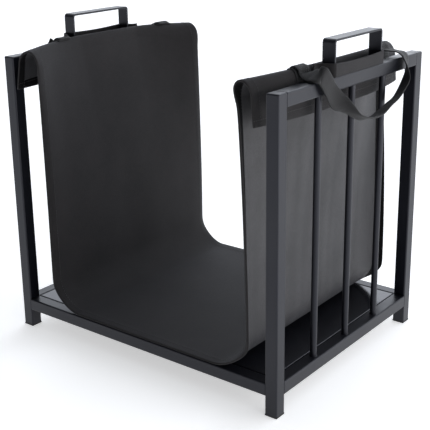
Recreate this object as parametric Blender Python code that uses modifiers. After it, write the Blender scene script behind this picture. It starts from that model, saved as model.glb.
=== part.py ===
"""Firewood log rack: a welded square-tube frame that carries a lift-out cloth log sling.

Left and right are -X and +X, front is -Y, and the floor is Z = 0. Metres throughout.
"""
import math
from collections import namedtuple

import bmesh
import bpy
from mathutils import Matrix, Vector

# ---- driving dimensions of the frame ------------------------------------------------
FRAME_WIDTH = 0.520             # over the posts, along X
FRAME_DEPTH = 0.400             # over the posts, along Y
FRAME_HEIGHT = 0.460            # floor to the top of the side rails
TUBE = 0.020                    # side of the square tube
TUBE_WALL = 0.0015
TUBE_CORNER = 0.0019            # rounding of the tube's long edges
FOOT_DROP = 0.030               # floor to the underside of the base rails
BAR_DIAMETER = 0.010
BARS_PER_SIDE = 3
HANDLE_LENGTH = 0.132           # over the legs, along Y
HANDLE_RISE = 0.052             # above the side rail
HANDLE_STRIP = (0.020, 0.003)   # width and thickness of the flat bar
HANDLE_BEND = 0.004             # bend radius at the middle of the bar
PLUG_FLANGE = 0.002
PLUG_STEM = 0.012
TRAY_SHEET = 0.0015
TRAY_LIP = 0.014                # depth of the folded edge
TRAY_BEND = 0.0015
TRAY_GAP = 0.0006               # between the tray's folded edge and the rails

# ---- driving dimensions of the sling ------------------------------------------------
CLOTH = 0.003                   # thickness of the stiff cloth
SLING_FRONT_INSET = 0.0015      # free edge of the cloth, from the face of the front rail
SLING_BACK_INSET = 0.010
SLING_BEND = 0.050              # radius where the sides turn into the bottom
EDGE_CURL_LENGTH = 0.009        # how fast the curl of a free edge dies away
BAND_HEIGHT = 0.018
BAND_THICKNESS = 0.002
BAND_REACH = 0.022              # from a handle leg to the sewn end of the band
STRAP_WIDTH = 0.025
STRAP_THICKNESS = 0.002
PATCH_WIDTH = 0.032
PATCH_THICKNESS = 0.0014
PATCH_TURN = 0.010              # how far a patch reaches down the inner side of the fold
STRAP_OFF_HANDLE = (0.038, 0.066)   # from the handle's legs to the middle of the front and back patch
STRAP_PIVOT_RISE = 0.015        # height of the line the strap swings about, above the rail
STRAP_LEAN = 0.15               # slope of the sewn ends away from the fold

CLEARANCE = 0.0003              # between pieces that touch
STEEL_PASS = 0.0012             # running gap between cloth and steel

# ---- sizes that follow from them ----------------------------------------------------
HALF_W = FRAME_WIDTH / 2
HALF_D = FRAME_DEPTH / 2
BASE_TOP = FOOT_DROP + TUBE
RAIL_UNDER = FRAME_HEIGHT - TUBE
POST_FOOT = PLUG_FLANGE + CLEARANCE
CLOTH_BOTTOM = BASE_TOP + CLEARANCE + CLOTH / 2
FLAP_DEPTH = TUBE + STEEL_PASS + CLOTH / 2      # middle of the flap beside the rail
SLING_FRONT = -HALF_D + SLING_FRONT_INSET
SLING_BACK = HALF_D - SLING_BACK_INSET

SIDES = {"left": -1, "right": 1}
ENDS = {"front": -1, "back": 1}

# One cross-section of a sling side. Each pair is (distance inboard of the frame's outer
# face, height): the fold's inner shoulder, its crest, its outer shoulder and the hem.
Fold = namedtuple("Fold", "foot shoulder crest outer hem curl")
FOLD_MIDDLE = Fold(0.074, (0.036, FRAME_HEIGHT + 0.001), (0.029, FRAME_HEIGHT + 0.0165),
                   (FLAP_DEPTH, FRAME_HEIGHT + 0.004), (FLAP_DEPTH, RAIL_UNDER - 0.028), 0.0)
FOLD_END = {
    "left": Fold(0.084, (0.081, RAIL_UNDER - 0.006), (0.056, FRAME_HEIGHT + 0.011),
                 (0.033, RAIL_UNDER + 0.008), (0.0255, RAIL_UNDER - 0.030), 0.006),
    "right": Fold(0.064, (0.079, RAIL_UNDER - 0.006), (0.060, FRAME_HEIGHT + 0.011),
                  (0.043, RAIL_UNDER + 0.008), (0.040, RAIL_UNDER - 0.028), 0.014),
}


def remove_everything():
    for existing in list(bpy.data.objects):
        bpy.data.objects.remove(existing, do_unlink=True)


def new_collection(name):
    collection = bpy.data.collections.new(name)
    bpy.context.scene.collection.children.link(collection)
    return collection


def finish(name, colour, roughness, metallic):
    """A plain Principled material."""
    material = bpy.data.materials.new(name)
    material.use_nodes = True
    shader = material.node_tree.nodes["Principled BSDF"]
    shader.inputs["Base Color"].default_value = (*colour, 1.0)
    shader.inputs["Roughness"].default_value = roughness
    shader.inputs["Metallic"].default_value = metallic
    return material


def add_object(name, mesh, collection, material, smooth=False):
    obj = bpy.data.objects.new(name, mesh)
    mesh.materials.append(material)
    if smooth:
        mesh.shade_smooth()
        mesh.set_sharp_from_angle(angle=math.radians(40))
    collection.objects.link(obj)
    return obj


def mesh_from(bm, name):
    mesh = bpy.data.meshes.new(name)
    bmesh.ops.recalc_face_normals(bm, faces=bm.faces)
    bm.to_mesh(mesh)
    bm.free()
    return mesh


def box_bmesh(low, high):
    """A box between two corners."""
    low, high = Vector(low), Vector(high)
    size, middle = high - low, (low + high) / 2
    bm = bmesh.new()
    bmesh.ops.create_cube(bm, size=1.0, matrix=Matrix.Translation(middle) @ Matrix.Diagonal((*size, 1.0)))
    return bm


def add_wall(obj, thickness, offset):
    """Give an open surface a wall; offset 0 is centred and -1 is inwards."""
    wall = obj.modifiers.new("wall", "SOLIDIFY")
    wall.thickness = thickness
    wall.offset = offset
    wall.use_even_offset = True
    return wall


def square_tube(name, low, high, axis, open_ends, collection, material):
    """Square tube along one axis (0, 1 or 2); open_ends is a list of -1 and 1."""
    bm = box_bmesh(low, high)
    closed = [end for end in (-1, 1) if end not in open_ends]
    rounded = [edge for edge in bm.edges if is_rounded(edge, axis, low, high, closed)]
    bmesh.ops.bevel(bm, geom=rounded, offset=TUBE_CORNER, segments=2, profile=0.5, affect="EDGES")
    bm.normal_update()
    caps = []
    for end in open_ends:
        cap = [face for face in bm.faces if face.normal[axis] * end > 0.99]
        bmesh.ops.inset_region(bm, faces=cap, thickness=TUBE_WALL, use_even_offset=True)
        caps += cap
    if closed:
        hollow = bmesh.ops.extrude_face_region(bm, geom=caps)
        depth = Vector((0, 0, 0))
        depth[axis] = (high[axis] - low[axis] - TUBE_WALL) * closed[0]
        moved = [v for v in hollow["geom"] if isinstance(v, bmesh.types.BMVert)]
        bmesh.ops.translate(bm, vec=depth, verts=moved)
        bmesh.ops.delete(bm, geom=caps, context="FACES_ONLY")
    else:
        rims = list({edge for cap in caps for edge in cap.edges})
        bmesh.ops.delete(bm, geom=caps, context="FACES_ONLY")
        bmesh.ops.bridge_loops(bm, edges=rims)
    return add_object(name, mesh_from(bm, name), collection, material, smooth=True)


def is_rounded(edge, axis, low, high, closed):
    """The tube's long edges are rounded, and so is the rim of an end that is welded shut."""
    ends = [vert.co[axis] for vert in edge.verts]
    if abs(ends[0] - ends[1]) > TUBE / 2:
        return True
    limit = {-1: low[axis], 1: high[axis]}
    return any(abs(ends[0] - limit[end]) < CLEARANCE / 2 for end in closed)


def make_posts(collection, steel):
    for side, sx in SIDES.items():
        for end, sy in ENDS.items():
            x, y = sorted((sx * HALF_W, sx * (HALF_W - TUBE))), sorted((sy * HALF_D, sy * (HALF_D - TUBE)))
            square_tube(f"post_{end}_{side}", (x[0], y[0], POST_FOOT), (x[1], y[1], FRAME_HEIGHT),
                        2, [-1], collection, steel)


def make_foot_plugs(collection, plastic):
    """Pressed-in plugs that close the posts and stand on the floor."""
    stem = TUBE - 2 * (TUBE_WALL + CLEARANCE)
    for side, sx in SIDES.items():
        for end, sy in ENDS.items():
            middle = Vector((sx * (HALF_W - TUBE / 2), sy * (HALF_D - TUBE / 2), 0.0))
            corner = Vector((TUBE / 2, TUBE / 2, 0.0))
            bm = box_bmesh(middle - corner, middle + corner + Vector((0, 0, PLUG_FLANGE)))
            top = [face for face in bm.faces if face.normal.z > 0.9]
            bmesh.ops.inset_region(bm, faces=top, thickness=(TUBE - stem) / 2, use_even_offset=True)
            raised = bmesh.ops.extrude_face_region(bm, geom=top)
            bmesh.ops.translate(bm, vec=(0, 0, PLUG_STEM),
                                verts=[v for v in raised["geom"] if isinstance(v, bmesh.types.BMVert)])
            bmesh.ops.delete(bm, geom=top, context="FACES_ONLY")
            name = f"foot_plug_{end}_{side}"
            add_object(name, mesh_from(bm, name), collection, plastic)


def make_rails(collection, steel):
    """Base rails all round, and a top rail on each side, welded between the posts."""
    inner_x = HALF_W - TUBE - CLEARANCE
    inner_y = HALF_D - TUBE - CLEARANCE
    for end, sy in ENDS.items():
        y = sorted((sy * HALF_D, sy * (HALF_D - TUBE)))
        square_tube(f"base_rail_{end}", (-inner_x, y[0], FOOT_DROP), (inner_x, y[1], BASE_TOP),
                    0, [-1, 1], collection, steel)
    for side, sx in SIDES.items():
        x = sorted((sx * HALF_W, sx * (HALF_W - TUBE)))
        for level, low, high in (("base", FOOT_DROP, BASE_TOP), ("top", RAIL_UNDER, FRAME_HEIGHT)):
            square_tube(f"{level}_rail_{side}", (x[0], -inner_y, low), (x[1], inner_y, high),
                        1, [-1, 1], collection, steel)


def make_bars(collection, steel):
    """Round bars that fence each side, evenly spaced between the posts."""
    clear = FRAME_DEPTH - 2 * TUBE
    length = RAIL_UNDER - BASE_TOP - 2 * CLEARANCE
    for side, sx in SIDES.items():
        for index in range(BARS_PER_SIDE):
            name = f"side_bar_{side}_{index + 1}"
            y = -clear / 2 + clear * (index + 1) / (BARS_PER_SIDE + 1)
            place = Matrix.Translation((sx * (HALF_W - TUBE / 2), y, BASE_TOP + CLEARANCE + length / 2))
            bm = bmesh.new()
            bmesh.ops.create_cone(bm, cap_ends=True, segments=28, radius1=BAR_DIAMETER / 2,
                                  radius2=BAR_DIAMETER / 2, depth=length, matrix=place)
            add_object(name, mesh_from(bm, name), collection, steel, smooth=True)


def arc(centre, radius, start, stop, steps):
    """Points on an arc in a plane, angles in degrees."""
    angles = [math.radians(start + (stop - start) * i / steps) for i in range(steps + 1)]
    return [(centre[0] + radius * math.cos(a), centre[1] + radius * math.sin(a)) for a in angles]


def make_handles(collection, steel):
    """Flat bar bent to a U and welded on each top rail."""
    width, thickness = HANDLE_STRIP
    y = HANDLE_LENGTH / 2 - thickness / 2
    foot = FRAME_HEIGHT + CLEARANCE
    top = FRAME_HEIGHT + HANDLE_RISE - thickness / 2
    r = HANDLE_BEND
    bends = arc((-y + r, top - r), r, 180, 90, 5) + arc((y - r, top - r), r, 90, 0, 5)
    path = [(-y, foot), *bends, (y, foot)]
    for side, sx in SIDES.items():
        middle = sx * (HALF_W - TUBE / 2)
        name = f"handle_{side}"
        strip = loft(name, [[(middle + dx, py, pz) for dx in (-width / 2, width / 2)] for py, pz in path])
        obj = add_object(name, strip, collection, steel, smooth=True)
        add_wall(obj, thickness, 0)


def make_tray(collection, steel):
    """Sheet-steel floor with its edges folded down, set level between the base rails."""
    x = HALF_W - TUBE - TRAY_GAP
    y = HALF_D - TUBE - TRAY_GAP
    bm = box_bmesh((-x, -y, BASE_TOP - TRAY_LIP), (x, y, BASE_TOP))
    under = [face for face in bm.faces if face.normal.z < -0.9]
    bmesh.ops.delete(bm, geom=under, context="FACES_ONLY")
    edges = [edge for edge in bm.edges if len(edge.link_faces) == 2]
    bmesh.ops.bevel(bm, geom=edges, offset=TRAY_BEND, segments=2, profile=0.5, affect="EDGES")
    obj = add_object("tray", mesh_from(bm, "tray"), collection, steel, smooth=True)
    add_wall(obj, TRAY_SHEET, -1)


def loft(name, rows):
    """An open surface through rows of points, each row with as many points."""
    bm = bmesh.new()
    grid = [[bm.verts.new(point) for point in row] for row in rows]
    for row, following in zip(grid, grid[1:]):
        for a, b, c, d in zip(row, row[1:], following[1:], following):
            bm.faces.new((a, b, c, d))
    return mesh_from(bm, name)


def mix(a, b, t):
    if isinstance(a, tuple):
        return tuple(mix(p, q, t) for p, q in zip(a, b))
    return a + (b - a) * t


def smooth_step(t):
    t = min(max(t, 0.0), 1.0)
    return t * t * (3 - 2 * t)


def fold_at(side, y):
    """The sling's cross-section at depth y: drawn in beside the handle, open at the ends."""
    straight = HANDLE_LENGTH / 2
    edge = SLING_BACK if y > 0 else -SLING_FRONT
    t = min(max((abs(y) - straight) / (edge - straight), 0.0), 1.0)
    fold = Fold(*mix(tuple(FOLD_MIDDLE), tuple(FOLD_END[side]), t * (0.35 + 0.65 * t)))
    curl = FOLD_END[side].curl * math.exp((abs(y) - edge) / EDGE_CURL_LENGTH)
    return fold._replace(foot=FOLD_END[side].foot, curl=curl)


def curled(fold, inboard, z):
    """The free edges curl outwards between the bottom bend and the crest."""
    rise = smooth_step((z - CLOTH_BOTTOM) / (0.8 * SLING_BEND))
    fall = smooth_step((fold.crest[1] - z) / (0.8 * SLING_BEND))
    return inboard - fold.curl * rise * fall, z


def half_profile(side, y):
    """Points of one side of the sling from the hem up, over the fold and down to the bottom."""
    fold = fold_at(side, y)
    turn = CLOTH_BOTTOM + SLING_BEND
    flap = [mix(fold.hem, fold.outer, i / 3) for i in range(3)]
    flap += quarter(fold.crest, fold.outer, 5)
    sheet = quarter(fold.crest, fold.shoulder, 6)[::-1]
    for i in range(1, 8):
        t = i / 8
        sheet.append((mix(fold.shoulder[0], fold.foot, 1 - (1 - t) ** 2), mix(fold.shoulder[1], turn, t)))
    sheet += arc((fold.foot + SLING_BEND, turn), SLING_BEND, 180, 270, 8)
    return flap[:-1] + [curled(fold, *point) for point in sheet]


def quarter(crest, shoulder, steps):
    """A quarter of an ellipse from a shoulder of the fold up to its crest."""
    width, rise = shoulder[0] - crest[0], crest[1] - shoulder[1]
    turns = [math.pi / 2 * i / steps for i in range(steps + 1)]
    return [(crest[0] + width * math.cos(a), shoulder[1] + rise * math.sin(a)) for a in turns]


def place(side, inboard, y, z):
    return (SIDES[side] * (HALF_W - inboard), y, z)


def sling_stations():
    """Depths of the sling's cross-sections, closer together at the free edges."""
    steps = [1.0, 0.97, 0.93, 0.85, 0.74, 0.62, 0.52, 0.42, 0.30]
    return [SLING_FRONT * s for s in steps] + [0.0] + [SLING_BACK * s for s in reversed(steps)]


def make_sling(collection, cloth):
    """One piece of stiff cloth: hem, fold, left side, bottom, right side, fold and hem."""
    rows = []
    for y in sling_stations():
        left = [place("left", d, y, z) for d, z in half_profile("left", y)]
        right = [place("right", d, y, z) for d, z in half_profile("right", y)]
        middle = [tuple(Vector(left[-1]).lerp(Vector(right[-1]), i / 6)) for i in range(1, 6)]
        rows.append(left + middle + right[::-1])
    obj = add_object("sling_cloth", loft("sling_cloth", rows), collection, cloth, smooth=True)
    add_wall(obj, CLOTH, 0)
    return obj


def fold_strip(side, y, reach, offset):
    """Points that follow the fold at depth y, pushed outwards, from its outer shoulder
    over the crest and down the inner side as far as reach."""
    fold = fold_at(side, y)
    points = quarter(fold.crest, fold.outer, 8)
    points += [p for p in quarter(fold.crest, fold.shoulder, 8)[-2::-1] if fold.crest[1] - p[1] < reach]
    pushed = []
    for i, point in enumerate(points):
        before, after = Vector(points[max(i - 1, 0)]), Vector(points[min(i + 1, len(points) - 1)])
        along = (after - before).normalized()
        pushed.append((point[0] - along.y * offset, point[1] + along.x * offset))
    return pushed


def make_patches(collection, webbing):
    """Patches sewn over the fold, one under each end of each strap."""
    offset = CLOTH / 2 + CLEARANCE + PATCH_THICKNESS / 2
    patches = []
    for side in SIDES:
        for label in ENDS:
            rows = []
            for i in range(4):
                y = patch_middle(label) + PATCH_WIDTH * (i / 3 - 0.5)
                rows.append([place(side, d, y, z) for d, z in fold_strip(side, y, PATCH_TURN, offset)])
            count = min(len(row) for row in rows)
            name = f"strap_patch_{label}_{side}"
            strip = loft(name, [row[:count] for row in rows])
            patch = add_object(name, strip, collection, webbing, smooth=True)
            add_wall(patch, PATCH_THICKNESS, 0)
            patches.append(patch)
    return patches


def smooth_path(points, steps):
    """Points on a smooth curve through the given ones, which may hold any number of values."""
    points = [Vector(point) for point in points]
    ends = [2 * points[0] - points[1], *points, 2 * points[-1] - points[-2]]
    curve = []
    for a, b, c, d in zip(ends, ends[1:], ends[2:], ends[3:]):
        for i in range(steps):
            t = i / steps
            curve.append(b + (c - a) * (t / 2) + (a * 2 - b * 5 + c * 4 - d) * (t * t / 2)
                         + (b * 3 - a - c * 3 + d) * (t ** 3 / 2))
    return curve + [points[-1]]


def make_bands(collection, cloth):
    """A band on each side, sewn to the fold and passing outside the legs of the handle."""
    leg = HANDLE_LENGTH / 2
    outside = -STEEL_PASS - BAND_THICKNESS / 2
    end = leg + BAND_REACH
    low, high = FRAME_HEIGHT + STEEL_PASS, FRAME_HEIGHT + STEEL_PASS + BAND_HEIGHT
    bands = []
    for side in SIDES:
        sewn = FLAP_DEPTH - CLOTH / 2 - CLEARANCE - BAND_THICKNESS / 2
        half = [(sewn, end), (sewn - 0.0012, end - 0.008), (mix(sewn, outside, 0.45), leg + 0.008),
                (outside + 0.0015, leg + 0.002), (outside, leg - 0.006), (outside, leg / 3)]
        path = smooth_path([(d, -y) for d, y in half] + half[::-1], 6)
        name = f"slot_band_{side}"
        rows = [[place(side, d, y, z) for z in (low, high)] for d, y in path]
        band = add_object(name, loft(name, rows), collection, cloth, smooth=True)
        add_wall(band, BAND_THICKNESS, 0)
        bands.append(band)
    return bands


# The right strap's route. Each row is the share of the way in from the rail's outer face to
# the patch, the distance outboard of that, the share of the way from the front patch to the
# back one and the height above the rail, then the direction of the webbing's width.
STRAP_ROUTE = [
    ((1.0, 0.0, 0.0, 0.0025), (0.0, 1.0, 0.0)),
    ((1.0, 0.0, 0.0, 0.006), (0.0, 0.98, 0.2)),
    ((0.66, 0.0, -0.006, 0.0085), (0.05, 0.88, 0.46)),
    ((0.16, 0.0, -0.013, 0.0095), (0.1, 0.84, 0.52)),
    ((0.0, 0.0046, 0.0, 0.009), (0.05, 0.62, 0.78)),
    ((0.0, 0.0068, 0.034, -0.0005), (0.05, 0.6, 0.79)),
    ((0.0, 0.0072, 0.089, -0.0165), (0.1, 0.6, 0.78)),
    ((0.0, 0.0085, 0.148, -0.031), (0.45, 0.5, 0.74)),
    ((0.0, 0.0128, 0.212, -0.0425), (0.9, 0.15, 0.35)),
    ((0.0, 0.0148, 0.275, -0.0525), (0.99, -0.05, 0.08)),
    ((0.0, 0.0157, 0.352, -0.061), (0.99, -0.03, 0.11)),
    ((0.0, 0.016, 0.449, -0.068), (0.97, 0.02, 0.25)),
    ((0.0, 0.016, 0.559, -0.068), (0.95, -0.02, 0.33)),
    ((0.0, 0.015, 0.669, -0.062), (0.89, -0.05, 0.44)),
    ((0.0, 0.014, 0.775, -0.056), (0.88, -0.05, 0.46)),
    ((0.0, 0.0127, 0.869, -0.049), (0.81, -0.18, 0.55)),
    ((0.0, 0.0122, 0.945, -0.036), (0.8, -0.35, 0.45)),
    ((0.0, 0.0108, 0.979, -0.024), (0.65, -0.62, 0.35)),
    ((0.0, 0.0085, 0.996, -0.01), (0.35, -0.88, 0.28)),
    ((0.0, 0.0048, 1.0, 0.0015), (0.1, -0.96, 0.2)),
    ((0.11, 0.0, 1.0, 0.0075), (0.0, -0.99, 0.12)),
    ((0.63, 0.0, 1.0, 0.0085), (0.0, -0.99, 0.1)),
    ((1.0, 0.0, 1.0, 0.006), (0.0, -1.0, 0.05)),
    ((1.0, 0.0, 1.0, 0.0025), (0.0, -1.0, 0.0)),
]


def patch_middle(label):
    """Depth of the middle of the patches at one end."""
    off = STRAP_OFF_HANDLE[list(ENDS).index(label)]
    return ENDS[label] * (HANDLE_LENGTH / 2 + off)


def strap_route(side):
    """The route in world directions; each end lies on its patch and leans off it upwards."""
    sx = SIDES[side]
    front, back = patch_middle("front"), patch_middle("back")
    route = []
    for (inboard, out, share, rise), (wx, wy, wz) in STRAP_ROUTE:
        sewn = front if share < 0.5 else back
        nearest = fold_at(side, sewn - math.copysign(STRAP_WIDTH / 2, sewn)).outer[0]
        seat = nearest - CLOTH / 2 - PATCH_THICKNESS - 2 * CLEARANCE - STRAP_THICKNESS / 2
        if inboard == 1.0:
            seat -= STRAP_LEAN * (rise - STRAP_ROUTE[0][0][3])
        place_out = HALF_W + out - inboard * seat
        route.append((sx * place_out, mix(front, back, share), FRAME_HEIGHT + rise, sx * wx, wy, wz))
    return route


def make_straps(collection, webbing, sling):
    """Carrying straps, each one length of webbing that hangs outside its rail."""
    for side, sx in SIDES.items():
        axis = (sx * (HALF_W - FLAP_DEPTH), 0, FRAME_HEIGHT + STRAP_PIVOT_RISE)
        pivot = new_pivot(f"strap_pivot_{side}", axis, collection, sling)
        route = smooth_path(strap_route(side), 4)
        rows = []
        for i, point in enumerate(route):
            before, after = route[max(i - 1, 0)], route[min(i + 1, len(route) - 1)]
            along = Vector((after - before)[:3]).normalized()
            across = Vector(point[3:])
            across = (across - along * across.dot(along)).normalized() * (STRAP_WIDTH / 2)
            middle = Vector(point[:3])
            rows.append([middle - across, middle, middle + across])
        name = f"carry_strap_{side}"
        strap = add_object(name, loft(name, rows), collection, webbing, smooth=True)
        add_wall(strap, STRAP_THICKNESS, 0)
        hang_on(strap, pivot)


def new_pivot(name, location, collection, parent=None):
    """An empty that marks a joint and carries the pieces that move with it."""
    pivot = bpy.data.objects.new(name, None)
    pivot.empty_display_size = 0.02
    collection.objects.link(pivot)
    pivot.location = location
    if parent:
        hang_on(pivot, parent)
    return pivot


def hang_on(piece, pivot):
    """Parent a piece to a pivot and leave it where it is."""
    bpy.context.view_layer.update()
    piece.parent = pivot
    piece.matrix_parent_inverse = pivot.matrix_world.inverted()


def main():
    remove_everything()
    rack = new_collection("firewood_log_rack")
    steel = finish("powder coated steel", (0.035, 0.037, 0.045), 0.42, 0.35)
    plastic = finish("black polyethylene", (0.010, 0.010, 0.011), 0.55, 0.0)
    cloth = finish("charcoal canvas", (0.030, 0.029, 0.031), 0.9, 0.0)
    webbing = finish("charcoal webbing", (0.040, 0.038, 0.043), 0.85, 0.0)
    make_posts(rack, steel)
    make_foot_plugs(rack, plastic)
    make_rails(rack, steel)
    make_bars(rack, steel)
    make_handles(rack, steel)
    make_tray(rack, steel)
    sling = new_pivot("sling_lift", (0, 0, BASE_TOP), rack)
    for piece in (make_sling(rack, cloth), *make_bands(rack, cloth), *make_patches(rack, webbing)):
        hang_on(piece, sling)
    make_straps(rack, webbing, sling)


main()
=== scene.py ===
"""Looks of the firewood log rack: powder-coated frame, stiff cloth sling and webbing straps.

Laid out as an add-on and run as a script. Metres throughout; left and right are -X and +X,
the open front is -Y, and the floor is Z = 0.
"""
import math

import bmesh
import bpy
import numpy as np
from mathutils import Matrix, Vector, noise


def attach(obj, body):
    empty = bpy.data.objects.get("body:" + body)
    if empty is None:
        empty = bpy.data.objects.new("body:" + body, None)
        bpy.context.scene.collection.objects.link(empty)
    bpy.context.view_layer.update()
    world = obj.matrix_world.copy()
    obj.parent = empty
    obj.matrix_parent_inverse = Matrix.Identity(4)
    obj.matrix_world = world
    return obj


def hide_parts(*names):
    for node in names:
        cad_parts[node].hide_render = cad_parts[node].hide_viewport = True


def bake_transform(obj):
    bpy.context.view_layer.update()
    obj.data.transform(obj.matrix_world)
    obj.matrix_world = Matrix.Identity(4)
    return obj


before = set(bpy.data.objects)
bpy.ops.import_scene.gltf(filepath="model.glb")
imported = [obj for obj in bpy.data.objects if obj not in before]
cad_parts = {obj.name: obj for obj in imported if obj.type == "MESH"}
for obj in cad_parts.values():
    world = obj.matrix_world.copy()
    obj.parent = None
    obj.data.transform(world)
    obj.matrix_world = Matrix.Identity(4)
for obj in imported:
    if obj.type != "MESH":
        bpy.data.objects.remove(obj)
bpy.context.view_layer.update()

bl_info = {
    "name": "Firewood log rack",
    "version": (1, 0, 0),
    "blender": (4, 5, 0),
    "location": "3D View > Sidebar > Log rack",
    "description": "Builds the finished look of a firewood log rack around its fixed frame",
    "category": "Object",
}

# ---- sizes shared with the frame, in metres ------------------------------------------
HALF_W = 0.260                  # to the outer face of the side rails
HALF_D = 0.200
FRAME_HEIGHT = 0.460
TUBE = 0.020
TUBE_CORNER = 0.0019            # rounding of the tube's long edges
BASE_TOP = 0.050
RAIL_UNDER = FRAME_HEIGHT - TUBE
HANDLE_LENGTH = 0.132
HANDLE_STRIP = (0.020, 0.003)
BAR_RADIUS = 0.005
BAR_DEPTHS = (-0.090, 0.0, 0.090)
CLOTH = 0.003
VISIBLE_CLOTH = 0.8 * CLOTH
HEM_WIDTH = 0.0135
HEM_SEAM = 0.0115
FLAP_DEPTH = 0.0227
SLING_FRONT = -0.1985
SLING_BACK = 0.190
SLING_BEND = 0.050
CLOTH_BOTTOM = BASE_TOP + 0.0003 + CLOTH / 2
EDGE_CURL_LENGTH = 0.009
PATCH_WIDTH = 0.032
PATCH_THICKNESS = 0.0014
PATCH_TURN = 0.010
STRAP_WIDTH = 0.025
STRAP_THICKNESS = 0.002
STRAP_OFF_HANDLE = (0.038, 0.066)
BAND_HEIGHT = 0.018
BAND_THICKNESS = 0.002
BAND_REACH = 0.022

SIDES = {"left": -1, "right": 1}
STEEL_KINDS = ("post", "base", "top", "side", "handle")
STEEL_NODES = [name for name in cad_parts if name.split("_")[0] in STEEL_KINDS]
PLUG_NODES = [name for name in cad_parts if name.startswith("foot_plug")]

# ---- how finely the soft pieces are divided --------------------------------------------
FLAP_STEPS = 10
OUTER_FOLD_STEPS = 12
INNER_FOLD_STEPS = 14
SIDE_STEPS = 44
BEND_STEPS = 20
BOTTOM_STEPS = 26
DEPTH_ROWS = 85
EDGE_STEPS = 2                  # between the two faces of a sheet at its rounded edge
STRAP_STEPS = 6                 # across the webbing
ROUTE_STEPS = 9                 # between two points of the strap's route
SEAM_SPACING = 0.002

# ---- the stage -------------------------------------------------------------------------
FLOOR_HALF = 14.0
LIGHT_LOBES = (((1, 0, 0.15), 0.5), ((0, 1, 0.15), 2.0), ((-1, 1, 0.2), 1.0), ((0, 0, 1), 0.3))
SOFTBOX_PLACE = (2.4, 0.4, 0.55)
SOFTBOX_TARGET = (0.2, 0.1, 0.25)
SOFTBOX_SIZE = (3.0, 1.1)
SOFTBOX_POWER = 28
CAMERA_PLACE = (0.9118, -1.1661, 0.7062)
CAMERA_TURN = (38.0, 17.33, -0.76)      # azimuth, elevation and roll, in degrees
CAMERA_LENS = 79.4
CAMERA_SENSOR = 36
CAMERA_SHIFT = -0.07


# ---- user settings ---------------------------------------------------------------------
def colour_setting(name, description, default):
    return bpy.props.StringProperty(
        name=name, description=description + ", sRGB hex", default=default)


def length_setting(name, description, default):
    return bpy.props.FloatProperty(
        name=name, description=description, default=default, unit="LENGTH")


class RackSteelSettings(bpy.types.PropertyGroup):
    coat_colour: colour_setting("Coat colour", "Powder coat of the frame", "#101117")
    peel_size: length_setting("Orange peel", "Spacing of the coat's orange peel", 0.0016)
    bead_radius: length_setting("Weld bead", "Radius of the weld beads at the joints", 0.0009)


class RackClothSettings(bpy.types.PropertyGroup):
    cloth_colour: colour_setting("Cloth colour", "Sling cloth", "#1e1b1c")
    back_colour: colour_setting("Back colour", "Coated back of the sling cloth", "#3d3c3e")
    thread_spacing: length_setting(
        "Thread spacing", "Distance between the threads of the weave as drawn", 0.0011)
    webbing_colour: colour_setting("Webbing colour", "Strap webbing", "#100f11")
    rib_spacing: length_setting("Rib spacing", "Distance between the webbing's ribs", 0.0016)
    stitch_length: length_setting("Stitch length", "Length of one stitch", 0.0030)
    stitch_spacing: length_setting("Stitch spacing", "Distance from stitch to stitch", 0.0042)
    thread_radius: length_setting("Thread radius", "Radius of the sewing thread", 0.0003)


# ---- small helpers -----------------------------------------------------------------------
def linear(hex_colour):
    """sRGB hex to linear RGBA."""
    channels = [int(hex_colour[i:i + 2], 16) / 255 for i in (1, 3, 5)]
    return [c / 12.92 if c <= 0.04045 else ((c + 0.055) / 1.055) ** 2.4
            for c in channels] + [1.0]


def shade(colour, factor):
    return [min(c * factor, 1.0) for c in colour[:3]] + [1.0]


def set_values(node, **settings):
    """Each setting names an attribute of the node or, if it has none of that name, an input:
    by its name with _ for a space, or by its place as i0, i1 and so on."""
    for key, value in settings.items():
        if hasattr(node, key):
            setattr(node, key, value)
        else:
            by_place = key[0] == "i" and key[1:].isdigit()
            node.inputs[int(key[1:]) if by_place else key.replace("_", " ")].default_value = value


def wire(tree, node, links):
    """links maps an input to the output that feeds it."""
    for key, output in links.items():
        tree.links.new(output, node.inputs[key])


def add_node(tree, kind, links=None, **settings):
    node = tree.nodes.new(kind)
    set_values(node, **settings)
    wire(tree, node, links or {})
    return node


def calculate(tree, operation, *values):
    """A math node's result; each value is a number or an output."""
    node = add_node(tree, "ShaderNodeMath", operation=operation)
    for socket, value in zip(node.inputs, values):
        if isinstance(value, bpy.types.NodeSocket):
            tree.links.new(value, socket)
        else:
            socket.default_value = value
    return node.outputs[0]


def noise_at(tree, place, **settings):
    return add_node(tree, "ShaderNodeTexNoise", {"Vector": place}, **settings).outputs[0]


def bumps(tree, height, strength, distance):
    return add_node(tree, "ShaderNodeBump", {"Height": height},
                    Strength=strength, Distance=distance).outputs[0]


def colour_ramp(tree, factor, *stops):
    """A ramp between two stops, each a position and a colour."""
    ramp = add_node(tree, "ShaderNodeValToRGB", {"Fac": factor})
    for element, (position, colour) in zip(ramp.color_ramp.elements, stops):
        element.position = position
        element.color = colour
    return ramp.outputs["Color"]


def new_material(name, **settings):
    material = bpy.data.materials.new(name)
    material.use_nodes = True
    tree = material.node_tree
    tree.nodes.clear()
    shader = add_node(tree, "ShaderNodeBsdfPrincipled", **settings)
    add_node(tree, "ShaderNodeOutputMaterial", {0: shader.outputs[0]})
    return material, tree, shader


def add_object(name, data):
    obj = bpy.data.objects.new(name, data)
    bpy.context.scene.collection.objects.link(obj)
    return obj


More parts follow.
